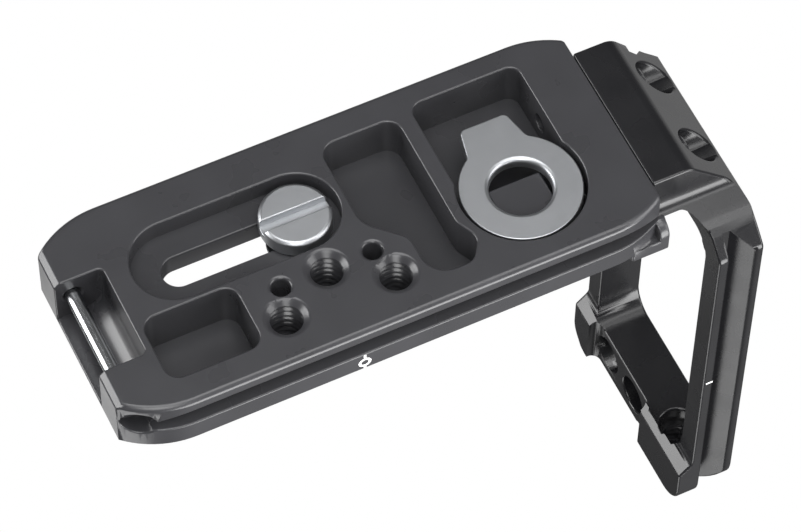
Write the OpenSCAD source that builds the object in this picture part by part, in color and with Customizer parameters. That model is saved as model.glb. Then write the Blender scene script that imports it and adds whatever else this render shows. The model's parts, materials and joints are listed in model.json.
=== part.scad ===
// Camera L-bracket: a dovetail base plate with a captive camera screw, a strap pin and a
// stored flat key, and an upright dovetail side plate held by two cap screws.
// The origin is in the plane of the base dovetail's clamping face, on the axis of its
// middle thread. +X runs along the plate to the side plate, +Z runs up to the camera.

/* [Base plate] */
// Plate end on the strap side, from the middle thread
plate_left = 38; // [36:0.5:46]
// Plate end at the side plate, from the middle thread
plate_right = 51; // [49:0.5:60]
// Dovetail width of the base plate
plate_w = 38; // [37:0.5:44]
// Front edge of the plate, from the middle thread
plate_front = 12.7; // [11.9:0.1:14]
// Plate thickness
plate_t = 10; // [9:0.5:13]
// Radius of the plate's corners
corner_r = 16; // [12:0.5:18]
// Length of the corner arcs along the plate on the strap side
corner_run_left = 11; // [6:0.5:11.5]
// Length of the corner arcs along the plate at the side plate
corner_run_right = 8.7; // [5:0.1:10]
// Bevel along the clamping face
edge_bevel = 0.6; // [0.3:0.1:1]
// Bevel along the strap end
end_bevel = 1; // [0.3:0.1:1.4]

/* [Base dovetail] */
// Height of the lip below the grooves
lip_h = 2.4; // [1.6:0.1:2.8]
// Depth of the grooves, which is also the height of their 45 degree flanks
groove_d = 3.1; // [2:0.1:3.4]
// Height of the flat floor at the bottom of the grooves
groove_floor = 0.4; // [0.2:0.1:0.8]

/* [Strap end] */
// Length of the strap notch along the plate
notch_len = 7.8; // [7:0.1:9]
// Width of the strap notch
notch_w = 16.5; // [12:0.5:20]
// Web left between the notch and the camera face
notch_web = 0.8; // [0.6:0.1:1.5]
// Radius of the scoop behind the strap pin
notch_scoop = 4.3; // [3:0.1:4.6]
// Strap pin diameter
pin_d = 2.4; // [1.6:0.1:3]
// Strap pin axis, from the strap end
pin_inset = 2.8; // [2.4:0.1:3]
// Strap pin axis, above the clamping face
pin_z = 4.2; // [3.8:0.1:4.6]
// How deep the strap pin sits in the front wall
pin_seat = 3; // [2:0.1:4]
// How deep the strap pin sits in the rear wall
pin_seat_rear = 5.4; // [3:0.1:6]
// Wall left between the strap end and the hole that the pin goes in through
access_wall = 0.3; // [0.3:0.1:0.8]
// Depth of the pin's access hole, from the plate's front edge
access_depth = 5.5; // [4.5:0.1:6.5]

/* [Camera screw] */
// Screw axis behind the middle thread
screw_back = 11.17; // [11:0.05:12]
// Travel of the screw along its slot
screw_travel = 19.3; // [14:0.1:20]
// Screw head diameter
head_d = 11.4; // [10:0.1:12]
// Screw head height
head_h = 3.2; // [2.4:0.1:3.4]
// How far the head lies inside the clamping face
head_sink = 0.3; // [0.2:0.1:0.6]
// Bevel round the head
head_bevel = 0.5; // [0.2:0.1:0.8]
// Width of the screwdriver slot
drive_w = 1.9; // [1.2:0.1:2.4]
// Depth of the screwdriver slot
drive_d = 1.5; // [0.8:0.1:1.8]
// Neck diameter
neck_d = 4.9; // [4.4:0.1:5]
// Outer diameter of the screw's thread
stud_d = 6.35; // [6.35:0.05:6.5]
// Length of thread above the camera face
stud_len = 5; // [4:0.5:8]

/* [Screw slot] */
// Width of the recess for the screw head
recess_w = 14; // [13:0.1:14.5]
// Width of the through slot
slot_w = 5.25; // [5.2:0.05:5.6]
// Width of the retaining clip's channel on the camera side
channel_w = 10; // [9.8:0.1:11]
// Depth of that channel
channel_d = 2.5; // [2:0.1:3]
// Retaining clip outer diameter
clip_d = 9.2; // [8.4:0.1:9.4]
// Retaining clip thickness
clip_t = 0.8; // [0.5:0.1:1]
// Width of the retaining clip's mouth, as a share of the neck
clip_mouth = 0.85; // [0.8:0.01:0.9]

/* [Threads] */
// Minor diameter of the quarter inch threads
thread_d = 5.1; // [5:0.05:5.2]
// Diameter of the countersink at their mouths
thread_mouth = 6.95; // [6.4:0.05:7.2]
// Distance between the two outer threads
thread_gap = 18; // [16:0.5:20]
// How far the outer threads lie in front of the middle one
thread_front = 5.15; // [4:0.05:5.2]
// Diameter of the locating holes
dowel_d = 3; // [2:0.1:3.2]
// Distance between the locating holes
dowel_gap = 15.1; // [14.6:0.1:15.4]
// Depth of the locating holes
dowel_depth = 5.3; // [3:0.1:6]
// Bevel at the mouths of the locating holes
dowel_bevel = 0.3; // [0.1:0.05:0.3]

/* [Pockets] */
// Material between the strap side pocket and the camera face
pocket_c_web = 1.4; // [1:0.1:3]
// Material between the middle pocket and the camera face
pocket_a_web = 2.2; // [1:0.1:4]
// Material between the key pocket and the camera face
pocket_b_web = 1.7; // [1:0.1:3]
// Corner radius of the strap side pocket
pocket_c_r = 2.4; // [1:0.1:4]
// Corner radius of the middle pocket's square end
pocket_a_r = 2.6; // [1:0.1:4]
// Corner radius of the key pocket's square end
pocket_b_r = 2; // [1:0.1:4]

/* [Corner stop] */
// Length of the stop on the camera face, along the plate
stop_len = 6.4; // [5:0.1:8]
// Width of the stop
stop_w = 6; // [4:0.5:8]
// Height of the stop above the camera face
stop_h = 1.6; // [1:0.1:3]
// How far the stop's front lies behind the plate's front edge
stop_in = 0.4; // [0.2:0.1:0.8]
// Reach of the stop past the plate's end
stop_over = 1; // [0.5:0.1:1.5]
// Length along the plate of the stop's ear, which runs down to the grooves
ear_len = 1.7; // [1:0.1:2.5]
// Width of the ear
ear_w = 2.7; // [2.4:0.1:2.8]
// Radius of the ear's edge beside the groove
ear_r = 2.5; // [1:0.1:2.7]

/* [Flat key] */
// Outer diameter of the key's ring
key_d = 19.1; // [17:0.1:19.4]
// Diameter of the hole in the key
key_hole = 9.8; // [8:0.1:10.4]
// Key thickness
key_t = 2; // [1.2:0.1:2.2]
// How far the key lies inside the clamping face
key_sink = 0.7; // [0.4:0.1:1]
// Width of the key's blade
blade_w = 7.75; // [6:0.05:9]
// Taper of each side of the blade towards its tip
blade_taper = 13; // [0:0.5:14]
// Reach of the blade from the ring's centre
blade_reach = 13.15; // [12:0.05:15]
// Corner radius of the blade
blade_r = 1; // [0.4:0.1:2]
// Fillet between blade and ring
blade_fillet = 2; // [1:0.1:3]
// Gap round the key in its pocket
key_gap = 0.6; // [0.4:0.1:1]
// Ring centre along the plate, from the middle thread
key_x = 33; // [32:0.1:34]
// Ring centre behind the middle thread
key_back = 1.15; // [0.6:0.05:1.6]
// Width of the magnet seat under the ring
seat_w = 8.9; // [7.6:0.1:9.4]
// Reach of the magnet seat behind the ring's centre
seat_back = 2.55; // [1:0.05:4]
// Magnet diameter
magnet_d = 3; // [2:0.1:3.2]
// Magnet thickness
magnet_t = 2; // [1:0.1:3]
// Distance between the two magnets
magnet_gap = 4.4; // [3.8:0.1:4.6]
// Magnet centres in front of the ring's centre
magnet_front = 6.8; // [6.4:0.1:7.2]

/* [Side plate] */
// Height of the side plate above the clamping face
side_h = 87.1; // [80:0.1:100]
// Dovetail width of the side plate
side_w = 38; // [36:0.5:40]
// Front edge of the side plate, from the middle thread
side_front = 17.3; // [16.8:0.1:18.5]
// Outer face of the side plate, past the plate's end
side_out = 15.1; // [14.6:0.1:16]
// Thickness of the legs
leg_t = 7.8; // [7.4:0.1:8.4]
// Width of the front leg
leg_front_w = 4.4; // [4:0.1:6]
// Width of the rear leg
leg_rear_w = 3.9; // [3.7:0.1:6]
// Thickness of the arm that joins the plate
arm_t = 7.8; // [7.6:0.1:8.6]
// Front edge of the arm at the seam, from the middle thread
arm_front = 7.5; // [6:0.1:8]
// Rear edge of the arm at the seam, from the middle thread
arm_rear = 19.5; // [18.8:0.1:20]
// Length of the arm's flat top, from the seam to the slope
arm_flat = 6.55; // [5.4:0.05:7]
// Upper end of the window between the legs, above the clamping face
window_low = 13.5; // [12.5:0.1:18]
// Corner radius of the window
window_r = 4; // [2:0.1:6]
// Height of the crossbar at the far end
bar_h = 10.1; // [9.8:0.1:13]
// How far the crossbar's end blocks stand in from the legs
block_in = 2.3; // [1.6:0.1:2.6]
// How far the crossbar's middle stands in from the legs
bar_in = 0.4; // [0.2:0.1:0.8]
// Rear end block's inner edge, behind the middle thread
block_rear = 15.5; // [15.3:0.1:17]
// Front end block's inner edge, in front of the middle thread
block_front = 3.1; // [2.2:0.1:4]
// Fillets beside the end blocks
block_fillet = 1.7; // [0.5:0.1:1.8]
// Far corner radius of the inner flange
flange_r = 4.8; // [3:0.1:7]
// Far corner radius of the outer lip
outer_r = 7; // [5:0.1:10]

/* [Side dovetail] */
// Width of the outer lip
side_lip = 1.6; // [1:0.1:2]
// Depth of the side plate's grooves
side_groove = 3.1; // [2:0.1:3.2]
// Width of the flat groove floor
side_floor = 1.3; // [0.6:0.1:1.5]

/* [Side threads] */
// Axis of the strap thread in the crossbar, in from the outer face
strap_in = 5.7; // [4.4:0.1:6]
// Axis of the strap thread, in front of the middle thread
strap_y = 8.5; // [8:0.1:9.2]
// Counterbore of the strap thread
strap_bore = 6.6; // [6:0.1:6.8]
// Depth of that counterbore
strap_depth = 3.8; // [2:0.1:5]
// First cross thread behind the middle thread
cross_y = 2.7; // [2.2:0.1:3]
// Distance between the two cross threads
cross_gap = 9; // [8.4:0.1:9.4]
// Counterbore of the cross threads
cross_bore = 6.8; // [6:0.1:7]
// Depth of their counterbores
cross_depth = 3; // [2:0.1:4]

/* [Side screws] */
// Thread diameter of the side screws
bolt_d = 3; // [2.5:0.1:3]
// Head diameter of the side screws
bolt_head_d = 5.5; // [5:0.1:5.6]
// Head height of the side screws
bolt_head_h = 3; // [2.5:0.1:3]
// Length of the side screws under the head
bolt_len = 14; // [12:0.5:14]
// Width across the flats of the hexagon socket
bolt_socket = 2.5; // [2:0.1:2.8]
// Depth of the hexagon socket
bolt_socket_d = 1.6; // [1:0.1:2]
// Counterbore diameter
bolt_bore = 6.2; // [6:0.1:6.2]
// Screw axes above the clamping face
bolt_z = 4.8; // [4.4:0.1:4.8]
// Front screw axis, in front of the middle thread
bolt_front = 1.2; // [0:0.1:2]
// Distance between the two screws
bolt_gap = 14.1; // [12:0.1:15]
// Distance from the seam to the screw heads' seats
bolt_seat = 5.95; // [5:0.05:6]

/* [Fits] */
// Radial clearance of pressed, screwed and turning fits
fit = 0.05; // [0.02:0.01:0.08]
// Gap between faces that meet
seam = 0.05; // [0.02:0.01:0.1]

/* [Hidden] */
$fn = 96;
over = 1;
plate_mid = plate_front - plate_w / 2;
plate_rear = plate_front - plate_w;
ledge_z = lip_h + groove_d + groove_floor;
neck_z = head_sink + head_h;
recess_d = neck_z + seam;
screw_y = -screw_back;
notch_mid = plate_mid;
notch_x = notch_len - plate_left;
pin_x = pin_inset - plate_left;
key_y = -key_back;
key_top = key_sink + key_t;
seat_z = key_top + seam;
face_x = plate_right + side_out;
leg_x = face_x - leg_t;
arm_x = plate_right + seam;
side_mid = side_front - side_w / 2;
side_rear = side_front - side_w;
bar_z = side_h - bar_h;
seat_x = plate_right + bolt_seat;
bolt_rear = bolt_front - bolt_gap;
strap_x = face_x - strap_in;
cross_z = side_h - bar_h / 2;
sink = (thread_mouth - thread_d) / 2;

// Points of the arc of radius v[2] that rounds the corner at v between the points a and b
function corner(a, v, b) =
    let (p = [a[0] - v[0], a[1] - v[1]], q = [b[0] - v[0], b[1] - v[1]],
         u = p / norm(p), w = q / norm(q),
         half = acos(u * w) / 2,
         mid = (u + w) / norm(u + w),
         c = [v[0], v[1]] + mid * v[2] / sin(half),
         turn = u[0] * w[1] - u[1] * w[0] > 0 ? 1 : -1,
         start = atan2(-mid[1], -mid[0]),
         n = ceil((180 - 2 * half) / 7.5))
    [for (i = [0:n]) let (t = start + turn * (90 - half) * (1 - 2 * i / n))
        c + v[2] * [cos(t), sin(t)]];

// Outline through the vertices v, each [x, y] or [x, y, corner radius]
function outline(v) =
    [for (i = [0:len(v) - 1]) each
        let (a = v[(i + len(v) - 1) % len(v)], b = v[(i + 1) % len(v)])
        (len(v[i]) < 3 || v[i][2] == 0) ? [[v[i][0], v[i][1]]] : corner(a, v[i], b)];

// Extrusions of outlines drawn in the YZ, XZ and XY planes
module along_x(x0, x1) translate([x0, 0, 0]) rotate([90, 0, 90]) linear_extrude(x1 - x0) children();
module along_y(y0, y1) translate([0, y1, 0]) rotate([90, 0, 0]) linear_extrude(y1 - y0) children();
module along_z(z0, z1) translate([0, 0, z0]) linear_extrude(z1 - z0) children();

// The children, and their mirror image across the line y
module both_sides(y) {
    children();
    translate([0, 2 * y, 0]) mirror([0, 1, 0]) children();
}

// Slot with round ends of width w between the centres x0 and x1
module slot(x0, x1, y, w) {
    translate([x0, y]) circle(d = w);
    translate([x1, y]) circle(d = w);
    translate([x0, y - w / 2]) square([x1 - x0, w]);
}

// Countersunk or bevelled hole along +Z from z0, with a 45 degree mouth
module mouthed_hole(x, y, z0, length, d, mouth) {
    translate([x, y, z0 - over]) cylinder(d = d, h = length + over);
    translate([x, y, z0 - over])
        cylinder(d1 = mouth + 2 * over, d2 = d, h = over + (mouth - d) / 2);
}

// Plan of the plate: rounded corners cut off square at both ends
module plate_plan(x1) {
    left = corner_run_left - plate_left;
    right = plate_right - corner_run_right;
    intersection() {
        translate([-plate_left, plate_rear]) square([plate_left + x1, plate_w]);
        union() {
            for (x = [left, right], s = [-1, 1])
                translate([x, plate_mid + s * (plate_w / 2 - corner_r)]) circle(r = corner_r);
            translate([left, plate_rear]) square([right - left, plate_w]);
            translate([left - corner_r, plate_rear + corner_r])
                square([right - left + 2 * corner_r, plate_w - 2 * corner_r]);
        }
    }
}

// Bevels along the clamping face: the long edges, the corner arcs and the strap end
module plate_bevels() {
    left = corner_run_left - plate_left;
    right = plate_right - corner_run_right;
    both_sides(plate_mid) {
        along_x(left, right)
            polygon([[plate_front - edge_bevel - over, -over], [plate_front + over, -over],
                     [plate_front + over, edge_bevel + over]]);
        for (side = [0, 1])
            translate([side ? right : left, plate_front - corner_r, 0])
                mirror([side, 0, 0]) rotate([0, 0, 90])
                    rotate_extrude(angle = 60)
                        polygon([[corner_r - edge_bevel - over, -over],
                                 [corner_r + over, -over],
                                 [corner_r + over, edge_bevel + over]]);
    }
    along_y(plate_rear - over, plate_front + over)
        polygon([[-plate_left - over, -over], [end_bevel + over - plate_left, -over],
                 [-plate_left - over, end_bevel + over]]);
}

// Dovetail grooves along both long edges
module plate_grooves()
    both_sides(plate_mid)
        along_x(-plate_left - over, plate_right + over)
            polygon([[plate_front + over, lip_h - over],
                     [plate_front - groove_d, lip_h + groove_d],
                     [plate_front - groove_d, ledge_z], [plate_front + over, ledge_z]]);

// Notch for a strap at the end, with a scoop behind the pin, and the holes that take the pin
module strap_notch() {
    floor_z = plate_t - notch_web;
    y0 = notch_mid - notch_w / 2;
    y1 = notch_mid + notch_w / 2;
    intersection() {
        along_y(y0, y1)
            polygon(outline([[-plate_left - over, -over], [notch_x, -over],
                             [notch_x, floor_z, notch_scoop], [-plate_left - over, floor_z]]));
        along_z(-over, plate_t)
            polygon(outline([[-plate_left - over, y0], [notch_x, y0, 1],
                             [notch_x, y1, 1], [-plate_left - over, y1]]));
    }
    translate([pin_x, plate_front + over, pin_z]) rotate([90, 0, 0])
        cylinder(d = pin_d + 2 * fit, h = plate_w + 2 * over);
    translate([pin_x, plate_front + over, pin_z]) rotate([90, 0, 0])
        cylinder(r = pin_inset - access_wall, h = access_depth + over);
    for (s = [-1, 1])
        translate([pin_x, s > 0 ? y1 - over : y0 + over, pin_z]) rotate([-90 * s, 0, 0])
            cylinder(d1 = pin_d + 1 + 2 * over, d2 = pin_d, h = over + 0.5);
}

// Recess, through slot and clip channel of the camera screw
module screw_slot() {
    along_z(-over, recess_d) slot(-screw_travel - 0.4, 0, screw_y, recess_w);
    along_z(0, plate_t) slot(-screw_travel, 0, screw_y, slot_w);
    along_z(plate_t - channel_d, plate_t + over) slot(-screw_travel - 0.2, 0, screw_y, channel_w);
}

// Threads and locating holes on the clamping face
module plate_holes() {
    for (p = [[0, 0], [-thread_gap / 2, thread_front], [thread_gap / 2, thread_front]])
        mouthed_hole(p[0], p[1], 0, plate_t + over, thread_d, thread_mouth);
    for (x = [-dowel_gap / 2, dowel_gap / 2])
        mouthed_hole(x, 0, 0, dowel_depth, dowel_d, dowel_d + 2 * dowel_bevel);
}

// Lightening pockets beside the threads
module open_pockets() {
    along_z(-over, plate_t - pocket_c_web)
        polygon(outline([[-29, -3.47, pocket_c_r], [-13.8, -3.47, pocket_c_r],
                         [-13.8, 7.95, pocket_c_r], [-29, 7.95, pocket_c_r]]));
    along_z(-over, plate_t - pocket_a_web)
        polygon(outline([[8.1, -20.4, pocket_a_r], [21.1, -20.4, pocket_a_r], [21.1, 0.9, 4],
                         [22.9, 4.6, 2.5], [20.5, 8.1, 2.5], [13.6, 8.1, 4], [13.6, 0.2, 2.8],
                         [8.1, -5.2, 4.5]]));
}

// Pocket of the flat key, with the magnets' seat left standing in it
module key_pocket() {
    half = key_d / 2 - 0.4;
    difference() {
        union() {
            along_z(-over, plate_t - pocket_b_web)
                polygon(outline([[key_x - half, -21.4, pocket_b_r],
                                 [key_x + half, -21.4, pocket_b_r],
                                 [key_x + half, key_y], [key_x - half, key_y]]));
            translate([key_x, key_y, -over])
                cylinder(d = key_d + 2 * key_gap, h = plate_t - pocket_b_web + over);
        }
        translate([key_x - seat_w / 2, key_y - seat_back, seat_z])
            cube([seat_w, seat_back + key_d, plate_t]);
    }
    for (s = [-1, 1])
        translate([key_x + s * magnet_gap / 2, key_y + magnet_front, seat_z - over])
            cylinder(d = magnet_d + 2 * fit, h = magnet_t + seam + over);
}

// Stop at the plate's front corner: a pad raised above the camera face, with an ear in front
module corner_stop() {
    front = plate_front - stop_in;
    end = plate_right + stop_over;
    along_z(plate_t - over, plate_t + stop_h)
        polygon(outline([[end - stop_len, front - stop_w, 1.5], [end - stop_len, front, 0.5],
                         [end, front, 0.5], [end, front - stop_w, 1.5]]));
    along_x(end - ear_len, end)
        polygon(outline([[front - ear_w, ledge_z], [front, ledge_z, ear_r],
                         [front, plate_t + stop_h], [front - ear_w, plate_t + stop_h]]));
}

module base_plate()
    color("#3b3c3e")
        difference() {
            union() {
                along_z(0, plate_t) plate_plan(plate_right);
                corner_stop();
            }
            plate_bevels();
            plate_grooves();
            strap_notch();
            screw_slot();
            plate_holes();
            open_pockets();
            key_pocket();
            for (y = [bolt_front, bolt_rear])
                translate([key_x + key_d / 2 - 0.6, y, bolt_z]) rotate([0, 90, 0])
                    cylinder(d = bolt_d + 2 * fit, h = plate_right);
        }

// Elevation of the arm, the legs and the crossbar, seen along the plate's edge
module side_elevation() {
    slope_end = face_x - arm_x - arm_flat;
    polygon(outline([[arm_x, 0], [arm_x + arm_flat, 0, 3], [face_x, slope_end, 1.5],
                     [face_x, side_h], [leg_x - block_in, side_h],
                     [leg_x - block_in, bar_z + 0.2, 0.6], [leg_x, bar_z + 0.2 - block_in, 2.2],
                     [leg_x, arm_t, 3], [arm_x, arm_t]]));
}

// End view of the side plate: the arm flares out to the width of the dovetail
module side_end_view(far_r) {
    polygon(outline([[arm_front, 0], [arm_front, 7.3, 1.9], [arm_front + 5.85, 9.3, 12],
                     [side_front, 13.4, 1.5], [side_front, side_h, far_r],
                     [side_rear, side_h, far_r], [side_rear, 12.5, 2],
                     [1.3 - arm_rear, 8.5, 3], [-arm_rear, 0]]));
}

// Window between the legs and the crossbar
module side_window()
    along_x(leg_x - over, face_x + over)
        polygon(outline([[side_rear + leg_rear_w, window_low, window_r],
                         [side_front - leg_front_w, window_low, window_r],
                         [side_front - leg_front_w, bar_z, window_r],
                         [side_rear + leg_rear_w, bar_z, window_r]]));

// Dovetail grooves along both legs
module side_grooves()
    both_sides(side_mid)
        along_z(-over, side_h + over)
            polygon([[face_x - side_lip + over, side_front + over],
                     [face_x - side_lip - side_groove, side_front - side_groove],
                     [face_x - side_lip - side_groove - side_floor, side_front - side_groove],
                     [face_x - side_lip - side_groove - side_floor, side_front + over]]);

// Relief of the crossbar's middle between its end blocks
module bar_relief()
    along_z(bar_z - block_in - over, side_h + over)
        polygon(outline([[leg_x - block_in - over, -block_rear],
                         [leg_x - bar_in, -block_rear, block_fillet],
                         [leg_x - bar_in, block_front, block_fillet],
                         [leg_x - block_in - over, block_front]]));

// Strap thread along Z and two cross threads along X, each behind a counterbore
module side_threads() {
    translate([strap_x, strap_y, bar_z - block_in]) {
        cylinder(d = strap_bore, h = strap_depth + block_in);
        cylinder(d = thread_d, h = side_h);
    }
    for (i = [0, 1])
        translate([0, -cross_y - i * cross_gap, cross_z]) {
            translate([leg_x - block_in, 0, 0]) rotate([0, 90, 0])
                cylinder(d = cross_bore, h = cross_depth + block_in - bar_in);
            translate([face_x, 0, 0]) rotate([0, -90, 0])
                mouthed_hole(0, 0, 0, leg_t - bar_in, thread_d, thread_mouth);
        }
}

// Counterbored holes of the side screws
module bolt_holes()
    for (y = [bolt_front, bolt_rear])
        translate([0, y, bolt_z]) rotate([0, 90, 0]) {
            translate([0, 0, arm_x - over]) cylinder(d = bolt_d + 6 * fit, h = side_out);
            translate([0, 0, seat_x]) cylinder(d = bolt_bore, h = side_out);
        }

module side_plate()
    color("#38393b")
        difference() {
            intersection() {
                along_y(side_rear - over, side_front + over) side_elevation();
                union() {
                    along_x(arm_x - over, face_x - side_lip - side_groove - side_floor)
                        side_end_view(flange_r);
                    along_x(face_x - side_lip - side_groove - side_floor - over, face_x + over)
                        side_end_view(outer_r);
                }
            }
            side_window();
            side_grooves();
            bar_relief();
            side_threads();
            bolt_holes();
        }

// Socket head cap screw along +X, its head's seat at x = 0
module side_screw(y)
    color("#2b2c2e")
        translate([seat_x + seam, y, bolt_z]) rotate([0, 90, 0])
            difference() {
                rotate_extrude()
                    polygon([[0, -bolt_len], [bolt_d / 2 - 0.4, -bolt_len],
                             [bolt_d / 2, 0.4 - bolt_len], [bolt_d / 2, 0], [bolt_head_d / 2, 0],
                             [bolt_head_d / 2, bolt_head_h - 0.3],
                             [bolt_head_d / 2 - 0.3, bolt_head_h], [0, bolt_head_h]]);
                translate([0, 0, bolt_head_h - bolt_socket_d])
                    cylinder(d = bolt_socket / cos(30), h = bolt_socket_d + over, $fn = 6);
            }

module side_screw_front() side_screw(bolt_front);

module side_screw_rear() side_screw(bolt_rear);

// Slotted head, plain neck through the slot, and thread above the camera face
module camera_screw()
    color("#c4c6c8")
        translate([0, screw_y, 0])
            difference() {
                rotate_extrude()
                    polygon([[0, head_sink], [head_d / 2 - head_bevel, head_sink],
                             [head_d / 2, head_sink + head_bevel], [head_d / 2, neck_z - 0.2],
                             [head_d / 2 - 0.2, neck_z], [neck_d / 2, neck_z],
                             [neck_d / 2, plate_t], [stud_d / 2, plate_t],
                             [stud_d / 2, plate_t + stud_len - 0.7],
                             [stud_d / 2 - 0.7, plate_t + stud_len], [0, plate_t + stud_len]]);
                translate([-head_d, -drive_w / 2, head_sink - over])
                    cube([2 * head_d, drive_w, drive_d + over]);
            }

// Open ring snapped on the screw's neck, which keeps the screw in its slot
module retaining_clip()
    color("#9a9c9e")
        translate([0, screw_y, plate_t - channel_d + 3 * seam])
            difference() {
                cylinder(d = clip_d, h = clip_t);
                translate([0, 0, -over]) cylinder(d = neck_d + 2 * fit, h = clip_t + 2 * over);
                translate([0, -neck_d * clip_mouth / 2, -over])
                    cube([clip_d, neck_d * clip_mouth, clip_t + 2 * over]);
            }

module strap_pin()
    color("#d8dadc")
        translate([pin_x, notch_mid + notch_w / 2 + pin_seat - seam, pin_z]) rotate([90, 0, 0])
            cylinder(d = pin_d, h = notch_w + pin_seat + pin_seat_rear - 2 * seam);

// Flat ring with a blade that drives the screw slots and runs into the ring with fillets
module flat_key() {
    ring = key_d / 2;
    half = blade_w / 2;
    out = [cos(blade_taper), sin(blade_taper)];
    side = [sin(blade_taper), -cos(blade_taper)];
    tip = [half, blade_reach];
    reach = ring + blade_fillet;
    away = tip * out + blade_fillet;
    toe = (away * out - sqrt(pow(reach, 2) - pow(away, 2)) * side) * ring / reach;
    root = (tip * out) * out + (pow(ring, 2) - (tip * out) * (out * toe)) / (side * toe) * side;
    foot = 0.98 * toe + 0.5 * [toe[1], -toe[0]] / ring;
    color("#b9bbbd")
        translate([key_x, key_y, key_sink])
            difference() {
                linear_extrude(key_t) {
                    circle(d = key_d);
                    polygon(outline([[-half, -blade_reach, blade_r], [half, -blade_reach, blade_r],
                                     [root[0], -root[1], blade_fillet], [foot[0], -foot[1]],
                                     [-foot[0], -foot[1]], [-root[0], -root[1], blade_fillet]]));
                }
                translate([0, 0, -over]) cylinder(d = key_hole, h = key_t + 2 * over);
            }
}

// Disc magnet under the key's ring
module key_magnet(s)
    color("#8c8e90")
        translate([key_x + s * magnet_gap / 2, key_y + magnet_front, seat_z])
            cylinder(d = magnet_d, h = magnet_t);

module key_magnet_left() key_magnet(-1);

module key_magnet_right() key_magnet(1);

base_plate();
side_plate();
side_screw_front();
side_screw_rear();
camera_screw();
retaining_clip();
strap_pin();
flat_key();
key_magnet_left();
key_magnet_right();
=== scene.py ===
import bpy
import bmesh
import json
import math
from mathutils import Euler, Matrix, Vector
from mathutils.geometry import intersect_line_line_2d, intersect_point_line

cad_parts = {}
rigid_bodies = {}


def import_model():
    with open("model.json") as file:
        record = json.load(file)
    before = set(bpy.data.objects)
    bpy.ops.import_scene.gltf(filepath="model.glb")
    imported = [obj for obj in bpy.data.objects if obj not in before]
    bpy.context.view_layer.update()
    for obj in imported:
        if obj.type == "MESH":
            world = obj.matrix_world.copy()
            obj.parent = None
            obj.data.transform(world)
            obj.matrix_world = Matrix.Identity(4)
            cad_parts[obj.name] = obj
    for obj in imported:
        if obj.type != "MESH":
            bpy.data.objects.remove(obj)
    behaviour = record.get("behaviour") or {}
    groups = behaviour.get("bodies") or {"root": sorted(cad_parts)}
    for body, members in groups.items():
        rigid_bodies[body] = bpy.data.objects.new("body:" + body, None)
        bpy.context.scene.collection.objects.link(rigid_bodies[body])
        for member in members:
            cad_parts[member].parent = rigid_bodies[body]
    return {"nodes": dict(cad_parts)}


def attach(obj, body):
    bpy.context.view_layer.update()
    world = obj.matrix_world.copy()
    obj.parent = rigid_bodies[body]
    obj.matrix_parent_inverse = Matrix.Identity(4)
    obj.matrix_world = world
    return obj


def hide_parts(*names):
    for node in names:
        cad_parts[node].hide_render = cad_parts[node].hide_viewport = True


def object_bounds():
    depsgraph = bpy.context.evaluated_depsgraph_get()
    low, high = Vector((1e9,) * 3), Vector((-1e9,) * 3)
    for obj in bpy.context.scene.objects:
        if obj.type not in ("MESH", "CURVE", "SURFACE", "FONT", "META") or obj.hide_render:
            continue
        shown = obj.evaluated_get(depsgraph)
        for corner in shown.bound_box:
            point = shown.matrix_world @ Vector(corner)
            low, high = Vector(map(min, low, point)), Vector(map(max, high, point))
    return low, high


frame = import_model()
cadLow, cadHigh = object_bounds()
nodes = frame["nodes"]
mm = 0.001
print("frame loaded:", len(nodes), "solids")


def linear(hexColour):
    parts = [int(hexColour[i:i + 2], 16) / 255 for i in (1, 3, 5)]
    return tuple(c / 12.92 if c <= 0.04045 else ((c + 0.055) / 1.055) ** 2.4 for c in parts) + (1,)


# one node with its settings; a value that is a socket becomes a link
def addNode(tree, kind, inputs=None, **settings):
    node = tree.nodes.new(kind)
    for key, value in settings.items():
        setattr(node, key, value)
    for key, value in (inputs or {}).items():
        if isinstance(value, bpy.types.NodeSocket):
            tree.links.new(value, node.inputs[key])
        else:
            node.inputs[key].default_value = value
    return node


def newMaterial(name):
    material = bpy.data.materials.new(name)
    material.use_nodes = True
    material.node_tree.nodes.clear()
    return material, material.node_tree


# a noise texture's values lie mostly between these
noiseLow, noiseHigh = 0.3, 0.7


# bead-blasted, black anodised aluminium: a dull black skin that still mirrors bright walls at a
# low angle, with the blasting's fine dents
def anodisedAluminium(name, look):
    material, tree = newMaterial(name)
    place = addNode(tree, "ShaderNodeTexCoord").outputs["Object"]
    dents = addNode(tree, "ShaderNodeTexNoise", {
        "Vector": place, "Scale": 1 / look["dentWidth"], "Detail": 2})
    cloud = addNode(tree, "ShaderNodeTexNoise", {
        "Vector": place, "Scale": 1 / look["cloudWidth"], "Detail": 3})
    tone = addNode(tree, "ShaderNodeMix", {
        "Factor": cloud.outputs["Fac"], "A": linear(look["darkTone"]), "B": linear(look["lightTone"])},
        data_type="RGBA")
    gloss = addNode(tree, "ShaderNodeMapRange", {
        "Value": cloud.outputs["Fac"], "From Min": noiseLow, "From Max": noiseHigh,
        "To Min": look["roughness"] - look["roughnessSpread"],
        "To Max": look["roughness"] + look["roughnessSpread"]})
    relief = addNode(tree, "ShaderNodeBump", {
        "Height": dents.outputs["Fac"], "Strength": look["dentStrength"], "Distance": look["dentDepth"]})
    shader = addNode(tree, "ShaderNodeBsdfPrincipled", {
        "Base Color": tone.outputs["Result"], "Roughness": gloss.outputs["Result"],
        "Normal": relief.outputs["Normal"], "IOR": look["ior"]})
    addNode(tree, "ShaderNodeOutputMaterial", {"Surface": shader.outputs["BSDF"]})
    return material


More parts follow.
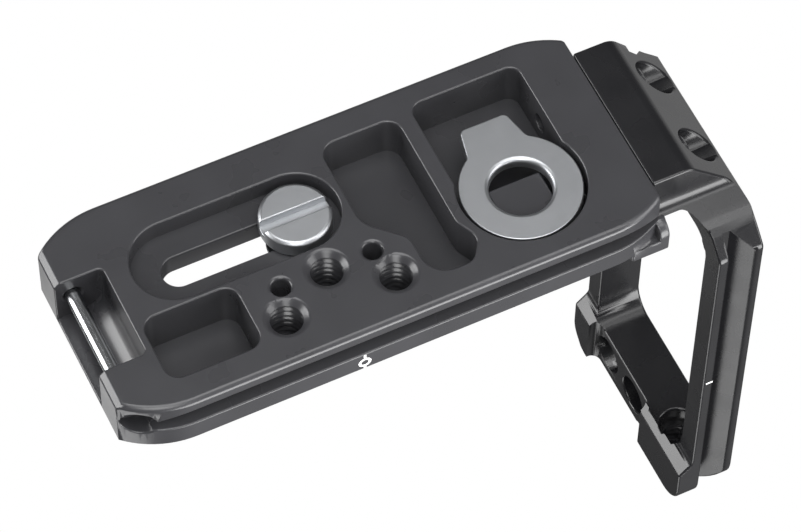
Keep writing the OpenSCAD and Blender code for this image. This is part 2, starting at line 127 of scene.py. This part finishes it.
# the side plate is darker than the base plate; the blasting's dents are drawn a little coarser than
# they are, so that they don't turn to noise
plateSkin = {"darkTone": "#313133", "lightTone": "#37373a", "dentWidth": 0.16 * mm, "cloudWidth": 9 * mm,
             "roughness": 0.29, "roughnessSpread": 0.03, "dentStrength": 0.2, "dentDepth": 0.01 * mm,
             "ior": 1.5}
sideSkin = dict(plateSkin, darkTone="#161618", lightTone="#1b1b1d", roughness=0.27)
blackPlate = anodisedAluminium("blackAnodisedPlate", plateSkin)
blackSide = anodisedAluminium("blackAnodisedSide", sideSkin)


# bare steel: a grain of fine marks drawn out along one direction, which breaks the highlights up
def bareSteel(name, look):
    material, tree = newMaterial(name)
    place = addNode(tree, "ShaderNodeTexCoord").outputs["Object"]
    drawn = addNode(tree, "ShaderNodeMapping", {"Vector": place, "Scale": look["grain"]})
    grain = addNode(tree, "ShaderNodeTexNoise", {
        "Vector": drawn.outputs[0], "Scale": 1 / look["grainWidth"], "Detail": 3})
    cloud = addNode(tree, "ShaderNodeTexNoise", {
        "Vector": place, "Scale": 1 / look["cloudWidth"], "Detail": 2})
    tone = addNode(tree, "ShaderNodeMix", {
        "Factor": cloud.outputs["Fac"], "A": linear(look["darkTone"]), "B": linear(look["lightTone"])},
        data_type="RGBA")
    gloss = addNode(tree, "ShaderNodeMapRange", {
        "Value": grain.outputs["Fac"], "From Min": noiseLow, "From Max": noiseHigh,
        "To Min": look["roughness"] - look["roughnessSpread"],
        "To Max": look["roughness"] + look["roughnessSpread"]})
    relief = addNode(tree, "ShaderNodeBump", {
        "Height": grain.outputs["Fac"], "Strength": look["grainStrength"], "Distance": look["grainDepth"]})
    shader = addNode(tree, "ShaderNodeBsdfPrincipled", {
        "Base Color": tone.outputs["Result"], "Metallic": 1, "Roughness": gloss.outputs["Result"],
        "Normal": relief.outputs["Normal"]})
    addNode(tree, "ShaderNodeOutputMaterial", {"Surface": shader.outputs["BSDF"]})
    return material


# a pale steel with a soft sheen: the screw's head and the key
satinSteel = bareSteel("satinStainlessSteel", {
    "darkTone": "#a9abae", "lightTone": "#b3b5b8", "cloudWidth": 6 * mm, "roughness": 0.42,
    "roughnessSpread": 0.03, "grain": (1, 6, 1), "grainWidth": 1.2 * mm, "grainStrength": 0.12,
    "grainDepth": 0.01 * mm})
# brighter than the screw, with its marks along the pin, so it shows one sharp white streak
groundPin = bareSteel("groundSteelPin", {
    "darkTone": "#b4b6b9", "lightTone": "#cfd1d3", "cloudWidth": 5 * mm, "roughness": 0.22,
    "roughnessSpread": 0.03, "grain": (6, 1, 6), "grainWidth": 1.5 * mm, "grainStrength": 0.05,
    "grainDepth": 0.01 * mm})
# a grey, unevenly dull steel, as tempering leaves it
springSteel = bareSteel("springSteelClip", {
    "darkTone": "#77797c", "lightTone": "#8b8d90", "cloudWidth": 3 * mm, "roughness": 0.34,
    "roughnessSpread": 0.05, "grain": (1, 1, 1), "grainWidth": 0.6 * mm, "grainStrength": 0.1,
    "grainDepth": 0.01 * mm})
# the magnets' plating: warmer and shinier than the steel beside it
nickel = bareSteel("nickelPlating", {
    "darkTone": "#bdb8ad", "lightTone": "#cdc9bf", "cloudWidth": 2 * mm, "roughness": 0.18,
    "roughnessSpread": 0.03, "grain": (1, 1, 1), "grainWidth": 0.8 * mm, "grainStrength": 0.05,
    "grainDepth": 0.01 * mm})
# an oiled black skin on the side screws, a shade glossier than the anodised plates
blackOxide = anodisedAluminium("blackOxideScrew", dict(
    plateSkin, darkTone="#1d1d1f", lightTone="#29292b", dentWidth=0.3 * mm, cloudWidth=2 * mm,
    roughness=0.26, dentStrength=0.12))


# screen-printed ink: flat white, faintly grainy
def printedInk(name, look):
    material, tree = newMaterial(name)
    place = addNode(tree, "ShaderNodeTexCoord").outputs["Object"]
    grain = addNode(tree, "ShaderNodeTexNoise", {
        "Vector": place, "Scale": 1 / look["grainWidth"], "Detail": 2})
    tone = addNode(tree, "ShaderNodeMix", {
        "Factor": grain.outputs["Fac"], "A": linear(look["darkTone"]), "B": linear(look["lightTone"])},
        data_type="RGBA")
    shader = addNode(tree, "ShaderNodeBsdfPrincipled", {
        "Base Color": tone.outputs["Result"], "Roughness": look["roughness"], "IOR": look["ior"]})
    addNode(tree, "ShaderNodeOutputMaterial", {"Surface": shader.outputs["BSDF"]})
    return material


whiteInk = printedInk("whiteInk", {"darkTone": "#f0f0ee", "lightTone": "#ffffff", "grainWidth": 0.1 * mm,
                                   "roughness": 0.6, "ior": 1.5})


# limits for the breaking of edges: angles are in degrees, and turnedArea is twice the area in square
# metres of the smallest turned triangle that counts
edgeRules = {"weld": 0.002 * mm, "flatAngle": 1, "rimAngle": 30, "smoothAngle": 32, "rimSegments": 4,
             "edgeSegments": 3, "turnedArea": 4e-11, "reachGrowth": 1.4, "reachLimit": 8}


# places where a bevelled outline runs over itself, which turns a triangle of it over
def crossedPlaces(bm):
    bm.normal_update()
    turned = {}
    for corners in bm.calc_loop_triangles():
        a, b, c = [corner.vert.co for corner in corners]
        if (b - a).cross(c - a).dot(corners[0].face.normal) < -edgeRules["turnedArea"]:
            turned.setdefault(corners[0].face, []).append((a + b + c) / 3)
    places = []
    for face, middles in turned.items():
        across = (face.verts[1].co - face.verts[0].co).normalized()
        up = face.normal.cross(across)
        lift = face.normal * face.verts[0].co.dot(face.normal)
        flat = [Vector((v.co.dot(across), v.co.dot(up))) for v in face.verts]
        count = len(flat)
        hits = []
        for i in range(count):
            for j in range(i + 2, count - (i == 0)):
                hit = intersect_line_line_2d(flat[i], flat[(i + 1) % count], flat[j], flat[(j + 1) % count])
                if hit:
                    hits.append(across * hit.x + up * hit.y + lift)
        places += hits or middles
    return places


# how near the stated cylinder a face must lie to be a thread's plain wall, and how little it may slope
wallSlack = {"radius": 0.03 * mm, "end": 0.1 * mm, "slope": 0.2}


# takes out the plain wall of a threaded hole or stud, where the thread's own flanks go
def openWall(bm, thread):
    turn = Euler(thread["rotation"]).to_matrix()
    wall = []
    for place in thread["places"]:
        start = Vector(place)
        for f in bm.faces:
            local = [turn.inverted() @ (v.co - start) for v in f.verts]
            onWall = all(abs(p.xy.length - thread["wallRadius"]) < wallSlack["radius"]
                         and -wallSlack["end"] < p.z < thread["length"] + wallSlack["end"] for p in local)
            if onWall and abs((turn.inverted() @ f.normal).z) < wallSlack["slope"]:
                wall.append(f)
    bmesh.ops.delete(bm, geom=wall, context="FACES")


# how far from its stated circle a vertex of a round rim may lie
rimSlack = {"radius": 0.1 * mm, "height": 0.02 * mm}


def sharpEdges(bm, angle):
    return [e for e in bm.edges if e.is_manifold and e.calc_face_angle_signed(0) > angle]


# a copy of a solid with its sharp outer edges broken, as a deburring pass leaves them; where two
# features crowd a corner the edge stays sharp, so long edges are cut near their ends first
def deburred(node, name, look, material, threads=()):
    solid = bmesh.new()
    solid.from_mesh(nodes[node].data)
    bmesh.ops.remove_doubles(solid, verts=solid.verts, dist=edgeRules["weld"])
    bmesh.ops.dissolve_limit(solid, angle_limit=math.radians(edgeRules["flatAngle"]), verts=solid.verts,
                             edges=solid.edges)
    solid.normal_update()
    for thread in threads:
        openWall(solid, thread)
    angle = math.radians(look["edgeAngle"])
    for rim in look.get("roundRims", ()):
        centre = Vector(rim["centre"])
        ring = [e for e in sharpEdges(solid, math.radians(edgeRules["rimAngle"])) if all(
            abs((v.co - centre).xy.length - rim["radius"]) < rimSlack["radius"]
            and abs(v.co.z - centre.z) < rimSlack["height"] for v in e.verts)]
        bmesh.ops.bevel(solid, geom=ring, offset=rim["width"], offset_type="OFFSET", profile=0.5,
                        segments=edgeRules["rimSegments"], affect="EDGES", clamp_overlap=True)
        solid.normal_update()
    for edge in [e for e in sharpEdges(solid, angle) if e.calc_length() > 3 * look["endLength"]]:
        first, last = edge.verts
        length = edge.calc_length()
        middle = bmesh.utils.edge_split(edge, first, look["endLength"] / length)[1]
        rest = [e for e in middle.link_edges if last in e.verts][0]
        bmesh.utils.edge_split(rest, last, look["endLength"] / (length - look["endLength"]))
    solid.normal_update()
    solid.edges.index_update()
    solid.edges.ensure_lookup_table()
    broken = {e.index for e in sharpEdges(solid, angle)}
    while True:
        bm = solid.copy()
        bm.edges.ensure_lookup_table()
        bmesh.ops.bevel(bm, geom=[bm.edges[i] for i in broken], offset=look["edgeWidth"],
                        offset_type="OFFSET", segments=edgeRules["edgeSegments"], profile=0.5,
                        affect="EDGES", clamp_overlap=False, face_strength_mode="ALL")
        places = crossedPlaces(bm)
        crowded = set()
        reach = look["edgeWidth"]
        while places and not crowded and reach < edgeRules["reachLimit"] * look["edgeWidth"]:
            reach *= edgeRules["reachGrowth"]
            for i in broken:
                a, b = [v.co for v in solid.edges[i].verts]
                for place in places:
                    share = max(0, min(1, intersect_point_line(place, a, b)[1]))
                    if (place - a.lerp(b, share)).length < reach:
                        crowded.add(i)
                        break
        if not crowded:
            break
        broken -= crowded
        bm.free()
    print(name, "edges broken:", len(broken), "places left crossed:", len(places))
    mesh = bpy.data.meshes.new(name)
    bm.to_mesh(mesh)
    bm.free()
    solid.free()
    mesh.shade_smooth()
    mesh.set_sharp_from_angle(angle=math.radians(edgeRules["smoothAngle"]))
    mesh.materials.clear()
    mesh.materials.append(material)
    piece = bpy.data.objects.new(name, mesh)
    bpy.context.scene.collection.objects.link(piece)
    weighted = piece.modifiers.new("evenNormals", "WEIGHTED_NORMAL")
    weighted.keep_sharp = True
    weighted.use_face_influence = True
    return piece


# quarter inch threads of 20 turns to the inch, by the place and direction of each hole
plateThread = {"places": [(0, 0, 0.93 * mm), (9 * mm, 5.15 * mm, 0.93 * mm), (-9 * mm, 5.15 * mm, 0.93 * mm)],
               "rotation": (0, 0, 0), "length": 9.04 * mm, "wallRadius": 2.55 * mm, "crestRadius": 2.55 * mm,
               "rootRadius": 3.175 * mm, "pitch": 1.27 * mm, "stepsPerTurn": 48}
strapThread = dict(plateThread, places=[(60.4 * mm, 8.5 * mm, 80.82 * mm)], length=6.24 * mm)
crossThread = dict(plateThread, length=4.24 * mm, rotation=(0, math.pi / 2, 0),
                   places=[(60.92 * mm, -2.7 * mm, 82.05 * mm), (60.92 * mm, -11.7 * mm, 82.05 * mm)])
studThread = dict(plateThread, places=[(0, -11.17 * mm, 10.02 * mm)], length=4.28 * mm,
                  wallRadius=3.175 * mm, crestRadius=3.175 * mm, rootRadius=2.6 * mm)

basePlateLook = {"edgeWidth": 0.3 * mm, "endLength": 1.2 * mm, "edgeAngle": 40}
basePlate = deburred("base_plate", "basePlate", basePlateLook, blackPlate, [plateThread])
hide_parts("base_plate")
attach(basePlate, "bracket")

sidePlateLook = {"edgeWidth": 0.4 * mm, "endLength": 1.5 * mm, "edgeAngle": 50}
sidePlate = deburred("side_plate", "sidePlate", sidePlateLook, blackSide, [strapThread, crossThread])
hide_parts("side_plate")
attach(sidePlate, "bracket")
print("plates made")


# a tooth's shape across one pitch, by the distance from the middle of its crest as a share of the pitch
tooth = {"rows": 9, "crestEnd": 0.06, "rootStart": 0.44}

# a strip of rows wound up to a helix, once for every point it is given; the rows run root, flank,
# crest, flank, root, and heights past the thread's ends are pressed flat there
threadTree = bpy.data.node_groups.new("threadFlanks", "GeometryNodeTree")
threadTree.interface.new_socket("Geometry", in_out="OUTPUT", socket_type="NodeSocketGeometry")
threadTree.interface.new_socket("places", in_out="INPUT", socket_type="NodeSocketGeometry")
threadInput = {}
for name, kind in (("crestRadius", "Float"), ("rootRadius", "Float"), ("pitch", "Float"),
                   ("length", "Float"), ("stepsPerTurn", "Int"), ("rotation", "Rotation"),
                   ("finish", "Material")):
    threadInput[name] = threadTree.interface.new_socket(
        name, in_out="INPUT", socket_type="NodeSocket" + kind).identifier
given = addNode(threadTree, "NodeGroupInput").outputs
turns = addNode(threadTree, "ShaderNodeMath", {0: given["length"], 1: given["pitch"]}, operation="DIVIDE")
turns = addNode(threadTree, "ShaderNodeMath", {0: turns.outputs[0], 1: 1.0}, operation="ADD").outputs[0]
columns = addNode(threadTree, "ShaderNodeMath", {0: turns, 1: given["stepsPerTurn"]}, operation="MULTIPLY")
strip = addNode(threadTree, "GeometryNodeMeshGrid", {
    "Size X": 1.0, "Size Y": 1.0, "Vertices X": columns.outputs[0], "Vertices Y": tooth["rows"]})
where = addNode(threadTree, "GeometryNodeInputPosition")
point = addNode(threadTree, "ShaderNodeSeparateXYZ", {0: where.outputs[0]})
along = addNode(threadTree, "ShaderNodeMath", {0: point.outputs["X"], 1: 0.5}, operation="ADD")
wound = addNode(threadTree, "ShaderNodeMath", {0: along.outputs[0], 1: turns}, operation="MULTIPLY")
wound = wound.outputs[0]
angle = addNode(threadTree, "ShaderNodeMath", {0: wound, 1: math.tau}, operation="MULTIPLY").outputs[0]
offCrest = addNode(threadTree, "ShaderNodeMath", {0: point.outputs["Y"]}, operation="ABSOLUTE")
radius = addNode(threadTree, "ShaderNodeMapRange", {
    "Value": offCrest.outputs[0], "From Min": tooth["crestEnd"], "From Max": tooth["rootStart"],
    "To Min": given["crestRadius"], "To Max": given["rootRadius"]}).outputs["Result"]
level = addNode(threadTree, "ShaderNodeMath", {0: point.outputs["Y"], 1: -0.5}, operation="ADD")
level = addNode(threadTree, "ShaderNodeMath", {0: level.outputs[0], 1: wound}, operation="ADD")
level = addNode(threadTree, "ShaderNodeMath", {0: level.outputs[0], 1: given["pitch"]}, operation="MULTIPLY")
level = addNode(threadTree, "ShaderNodeClamp", {
    "Value": level.outputs[0], "Min": 0.0, "Max": given["length"]})
cosine = addNode(threadTree, "ShaderNodeMath", {0: angle}, operation="COSINE")
sine = addNode(threadTree, "ShaderNodeMath", {0: angle}, operation="SINE")
helixX = addNode(threadTree, "ShaderNodeMath", {0: radius, 1: cosine.outputs[0]}, operation="MULTIPLY")
helixY = addNode(threadTree, "ShaderNodeMath", {0: radius, 1: sine.outputs[0]}, operation="MULTIPLY")
helix = addNode(threadTree, "ShaderNodeCombineXYZ", {
    "X": helixX.outputs[0], "Y": helixY.outputs[0], "Z": level.outputs[0]})
flanks = addNode(threadTree, "GeometryNodeSetPosition", {
    "Geometry": strip.outputs["Mesh"], "Position": helix.outputs[0]})
inward = addNode(threadTree, "FunctionNodeCompare", {0: given["crestRadius"], 1: given["rootRadius"]},
                 data_type="FLOAT", operation="LESS_THAN")
facing = addNode(threadTree, "GeometryNodeFlipFaces", {
    "Mesh": flanks.outputs["Geometry"], "Selection": inward.outputs["Result"]})
closed = addNode(threadTree, "GeometryNodeMergeByDistance", {
    "Geometry": facing.outputs["Mesh"], "Distance": 0.001 * mm})
placed = addNode(threadTree, "GeometryNodeInstanceOnPoints", {
    "Points": given["places"], "Instance": closed.outputs["Geometry"], "Rotation": given["rotation"]})
plain = addNode(threadTree, "GeometryNodeRealizeInstances", {"Geometry": placed.outputs["Instances"]})
finished = addNode(threadTree, "GeometryNodeSetMaterial", {
    "Geometry": plain.outputs["Geometry"], "Material": given["finish"]})
addNode(threadTree, "NodeGroupOutput", {"Geometry": finished.outputs["Geometry"]})


def threadFlanks(name, thread, material, body):
    places = bpy.data.meshes.new(name + "Places")
    places.from_pydata(thread["places"], [], [])
    holder = bpy.data.objects.new(name + "Places", places)
    bpy.context.scene.collection.objects.link(holder)
    grown = holder.modifiers.new("thread", "NODES")
    grown.node_group = threadTree
    for key in ("crestRadius", "rootRadius", "pitch", "length", "stepsPerTurn", "rotation"):
        grown[threadInput[key]] = thread[key]
    grown[threadInput["finish"]] = material
    mesh = bpy.data.meshes.new_from_object(holder.evaluated_get(bpy.context.evaluated_depsgraph_get()))
    bpy.data.objects.remove(holder)
    mesh.name = name
    mesh.shade_smooth()
    mesh.set_sharp_from_angle(angle=math.radians(30))
    piece = bpy.data.objects.new(name, mesh)
    bpy.context.scene.collection.objects.link(piece)
    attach(piece, body)


# the cut flanks are smoother than the blasted faces
threadSkin = anodisedAluminium("blackThreadFlanks", dict(plateSkin, roughness=0.24, dentStrength=0.05))
threadFlanks("plateThreads", plateThread, threadSkin, "bracket")
threadFlanks("strapThread", strapThread, threadSkin, "bracket")
threadFlanks("crossThreads", crossThread, threadSkin, "bracket")
threadFlanks("studThread", studThread, satinSteel, "camera_screw")
print("threads made")

# the edge left on small turned or punched pieces
turnedEdge = {"edgeWidth": 0.12 * mm, "endLength": 1 * mm, "edgeAngle": 50}
screwLook = dict(turnedEdge, edgeAngle=40, edgeWidth=0.16 * mm, roundRims=[
    {"centre": (0, -11.17 * mm, 0.3 * mm), "radius": 5.2 * mm, "width": 0.2 * mm},
    {"centre": (0, -11.17 * mm, 0.8 * mm), "radius": 5.7 * mm, "width": 0.2 * mm}])
cameraScrew = deburred("camera_screw", "cameraScrew", screwLook, satinSteel, [studThread])
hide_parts("camera_screw")
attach(cameraScrew, "camera_screw")

# the ring's hole has a well rounded rim, which makes its bright crescent
keyLook = dict(turnedEdge, edgeWidth=0.2 * mm, roundRims=[
    {"centre": (33 * mm, -1.15 * mm, 0.7 * mm), "radius": 4.9 * mm, "width": 0.75 * mm}])
flatKey = deburred("flat_key", "flatKey", keyLook, satinSteel)
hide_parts("flat_key")
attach(flatKey, "flat_key")

strapPin = deburred("strap_pin", "strapPin", turnedEdge, groundPin)
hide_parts("strap_pin")
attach(strapPin, "bracket")

clipLook = dict(turnedEdge, edgeWidth=0.08 * mm)
retainingClip = deburred("retaining_clip", "retainingClip", clipLook, springSteel)
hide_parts("retaining_clip")
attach(retainingClip, "screw_carrier")

for place in ("front", "rear"):
    screw = deburred("side_screw_" + place, place + "SideScrew", turnedEdge, blackOxide)
    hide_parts("side_screw_" + place)
    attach(screw, "bracket")

magnetLook = dict(turnedEdge, edgeWidth=0.1 * mm)
for place in ("left", "right"):
    magnet = deburred("key_magnet_" + place, place + "KeyMagnet", magnetLook, nickel)
    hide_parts("key_magnet_" + place)
    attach(magnet, "bracket")
print("small parts made")


ringSteps = 48


# a thin printed shape on a face that looks along +Y, from rings and bars in the face's x and z
def printedMark(name, look):
    bm = bmesh.new()
    for ring in look["rings"]:
        rounds = []
        for radius in (ring["outer"], ring["inner"]):
            turn = [math.tau * k / ringSteps for k in range(ringSteps)]
            rounds.append([bm.verts.new((ring["x"] + radius * math.cos(t), look["face"],
                                         ring["z"] + radius * math.sin(t))) for t in turn])
        for k in range(ringSteps):
            bm.faces.new((rounds[0][k - 1], rounds[0][k], rounds[1][k], rounds[1][k - 1]))
    for bar in look["bars"]:
        bm.faces.new([bm.verts.new((x, look["face"], z)) for x, z in (
            (bar["x0"], bar["z0"]), (bar["x1"], bar["z0"]), (bar["x1"], bar["z1"]), (bar["x0"], bar["z1"]))])
    raised = bmesh.ops.extrude_face_region(bm, geom=bm.faces[:])["geom"]
    bmesh.ops.translate(bm, vec=(0, look["height"], 0),
                        verts=[g for g in raised if isinstance(g, bmesh.types.BMVert)])
    bmesh.ops.recalc_face_normals(bm, faces=bm.faces[:])
    mesh = bpy.data.meshes.new(name)
    bm.to_mesh(mesh)
    bm.free()
    mesh.materials.append(whiteInk)
    piece = bpy.data.objects.new(name, mesh)
    bpy.context.scene.collection.objects.link(piece)
    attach(piece, "bracket")


centreMark = {"face": 12.7 * mm, "height": 0.02 * mm,
              "rings": [{"x": 0.27 * mm, "z": 8.2 * mm, "outer": 1.05 * mm, "inner": 0.62 * mm}],
              "bars": [{"x0": 0.07 * mm, "x1": 0.47 * mm, "z0": 6.2 * mm, "z1": 7.2 * mm},
                       {"x0": 0.07 * mm, "x1": 0.47 * mm, "z0": 9.2 * mm, "z1": 9.75 * mm}]}
printedMark("centreMark", centreMark)
indexLine = {"face": 17.3 * mm, "height": 0.02 * mm, "rings": [],
             "bars": [{"x0": 58.8 * mm, "x1": 60 * mm, "z0": 49 * mm, "z1": 49.4 * mm}]}
printedMark("indexLine", indexLine)
print("marks made")


# the camera stands below the plate, as the bracket was photographed upside down
photoCamera = {"lens": 185.8, "sensor": 36, "place": (-0.1393, 0.3032, -0.5183),
               "right": (0.9007, 0.4343, -0.0092), "up": (0.3606, -0.7593, -0.5418),
               "back": (-0.2423, 0.4847, -0.8405)}
cameraData = bpy.data.cameras.new("photoCamera")
cameraData.lens = photoCamera["lens"]
cameraData.sensor_width = photoCamera["sensor"]
camera = bpy.data.objects.new("photoCamera", cameraData)
bpy.context.scene.collection.objects.link(camera)
camera.matrix_world = Matrix.Translation(photoCamera["place"]) @ Matrix(
    (photoCamera["right"], photoCamera["up"], photoCamera["back"])).transposed().to_4x4()
bpy.context.scene.camera = camera


# a round softbox given by its direction, half angle in degrees and brightness; each stands where a
# group of faces or edges mirrors it to the photo's camera
def softbox(name, towards, halfAngle, brightness, distance=0.8, target=(0.014, -0.006, 0.03)):
    lamp = bpy.data.lights.new(name, "AREA")
    lamp.shape = "DISK"
    lamp.size = 2 * distance * math.tan(math.radians(halfAngle))
    lamp.energy = brightness * math.pi * math.pi * (lamp.size / 2) ** 2
    holder = bpy.data.objects.new(name, lamp)
    bpy.context.scene.collection.objects.link(holder)
    direction = Vector(towards).normalized()
    holder.location = Vector(target) + direction * distance
    holder.rotation_mode = "QUATERNION"
    holder.rotation_quaternion = direction.to_track_quat("Z", "Y")


softbox("keyPanel", (-0.05, 0.1, -0.99), 24, 4.6)
softbox("lowFrontSoftbox", (0.24, 0.93, 0.2), 24, 9)
softbox("leftFrontSoftbox", (-0.3, 0.68, -0.67), 14, 7)
softbox("rightFrontSoftbox", (0.74, 0.58, -0.34), 18, 5)
softbox("leftSoftbox", (-0.84, -0.485, -0.24), 20, 8)
softbox("upperFrontPanel", (0.24, 0.48, 0.84), 18, 0.2)
softbox("upperLeftPanel", (-0.485, 0.242, 0.84), 14, 2.6)
softbox("rearFill", (0.84, -0.485, 0.24), 25, 0.6)
softbox("legPanel", (0.24, 0.5, -0.83), 11, 5, 0.25, (0.062, 0.014, 0.011))
softbox("strapEndPanel", (-0.24, -0.48, 0.84), 8, 1.3, 0.3, (-0.038, 0, 0.005))

# the room is dim in mirrored and scattered light, so that the black faces stay black, and white when seen
roomLook = {"mirrored": 0.11, "seen": 1.0}
world = bpy.data.worlds.new("paleStudio")
world.use_nodes = True
world.node_tree.nodes.clear()
tree = world.node_tree
seen = addNode(tree, "ShaderNodeLightPath").outputs["Is Camera Ray"]
room = addNode(tree, "ShaderNodeBackground", {"Color": (1, 1, 1, 1), "Strength": roomLook["mirrored"]})
backdrop = addNode(tree, "ShaderNodeBackground", {"Color": (1, 1, 1, 1), "Strength": roomLook["seen"]})
both = addNode(tree, "ShaderNodeMixShader", {0: seen, 1: room.outputs[0], 2: backdrop.outputs[0]})
addNode(tree, "ShaderNodeOutputWorld", {"Surface": both.outputs[0]})
bpy.context.scene.world = world
bpy.context.scene.view_settings.view_transform = "Standard"
print("camera and lights made")

# the floor shows from above only, so that the view from below keeps its plain background
floorLook = {"size": 3.0, "tone": "#dcdcda", "gap": 0.02 * mm}
floorMesh = bpy.data.meshes.new("floor")
half = floorLook["size"] / 2
level = cadLow.z - floorLook["gap"]
corners = [(-half, -half, level), (half, -half, level), (half, half, level), (-half, half, level)]
floorMesh.from_pydata(corners, [], [(0, 1, 2, 3)])
floor = bpy.data.objects.new("floor", floorMesh)
bpy.context.scene.collection.objects.link(floor)
material, tree = newMaterial("paleFloorPaper")
behind = addNode(tree, "ShaderNodeNewGeometry").outputs["Backfacing"]
paper = addNode(tree, "ShaderNodeBsdfDiffuse", {"Color": linear(floorLook["tone"])})
clear = addNode(tree, "ShaderNodeBsdfTransparent")
both = addNode(tree, "ShaderNodeMixShader", {0: behind, 1: paper.outputs[0], 2: clear.outputs[0]})
addNode(tree, "ShaderNodeOutputMaterial", {"Surface": both.outputs[0]})
floorMesh.materials.append(material)
for ray in ("visible_diffuse", "visible_glossy", "visible_transmission", "visible_shadow"):
    setattr(floor, ray, False)

# the floor has a light of its own, because the softboxes stand partly at its level and would glare on it
floorSun = {"strength": 3.0, "angle": 45, "tilt": (0.25, -0.15, 0)}
sun = bpy.data.lights.new("floorSun", "SUN")
sun.energy = floorSun["strength"]
sun.angle = math.radians(floorSun["angle"])
sunHolder = bpy.data.objects.new("floorSun", sun)
bpy.context.scene.collection.objects.link(sunHolder)
sunHolder.rotation_euler = floorSun["tilt"]
floorOnly = bpy.data.collections.new("floorOnly")
floorOnly.objects.link(floor)
sunHolder.light_linking.receiver_collection = floorOnly
noFloor = bpy.data.collections.new("noFloor")
noFloor.objects.link(floor)
noFloor.collection_objects[0].light_linking.link_state = "EXCLUDE"
for lamp in bpy.context.scene.objects:
    if lamp.type == "LIGHT" and lamp != sunHolder:
        lamp.light_linking.receiver_collection = noFloor

print("scene made")
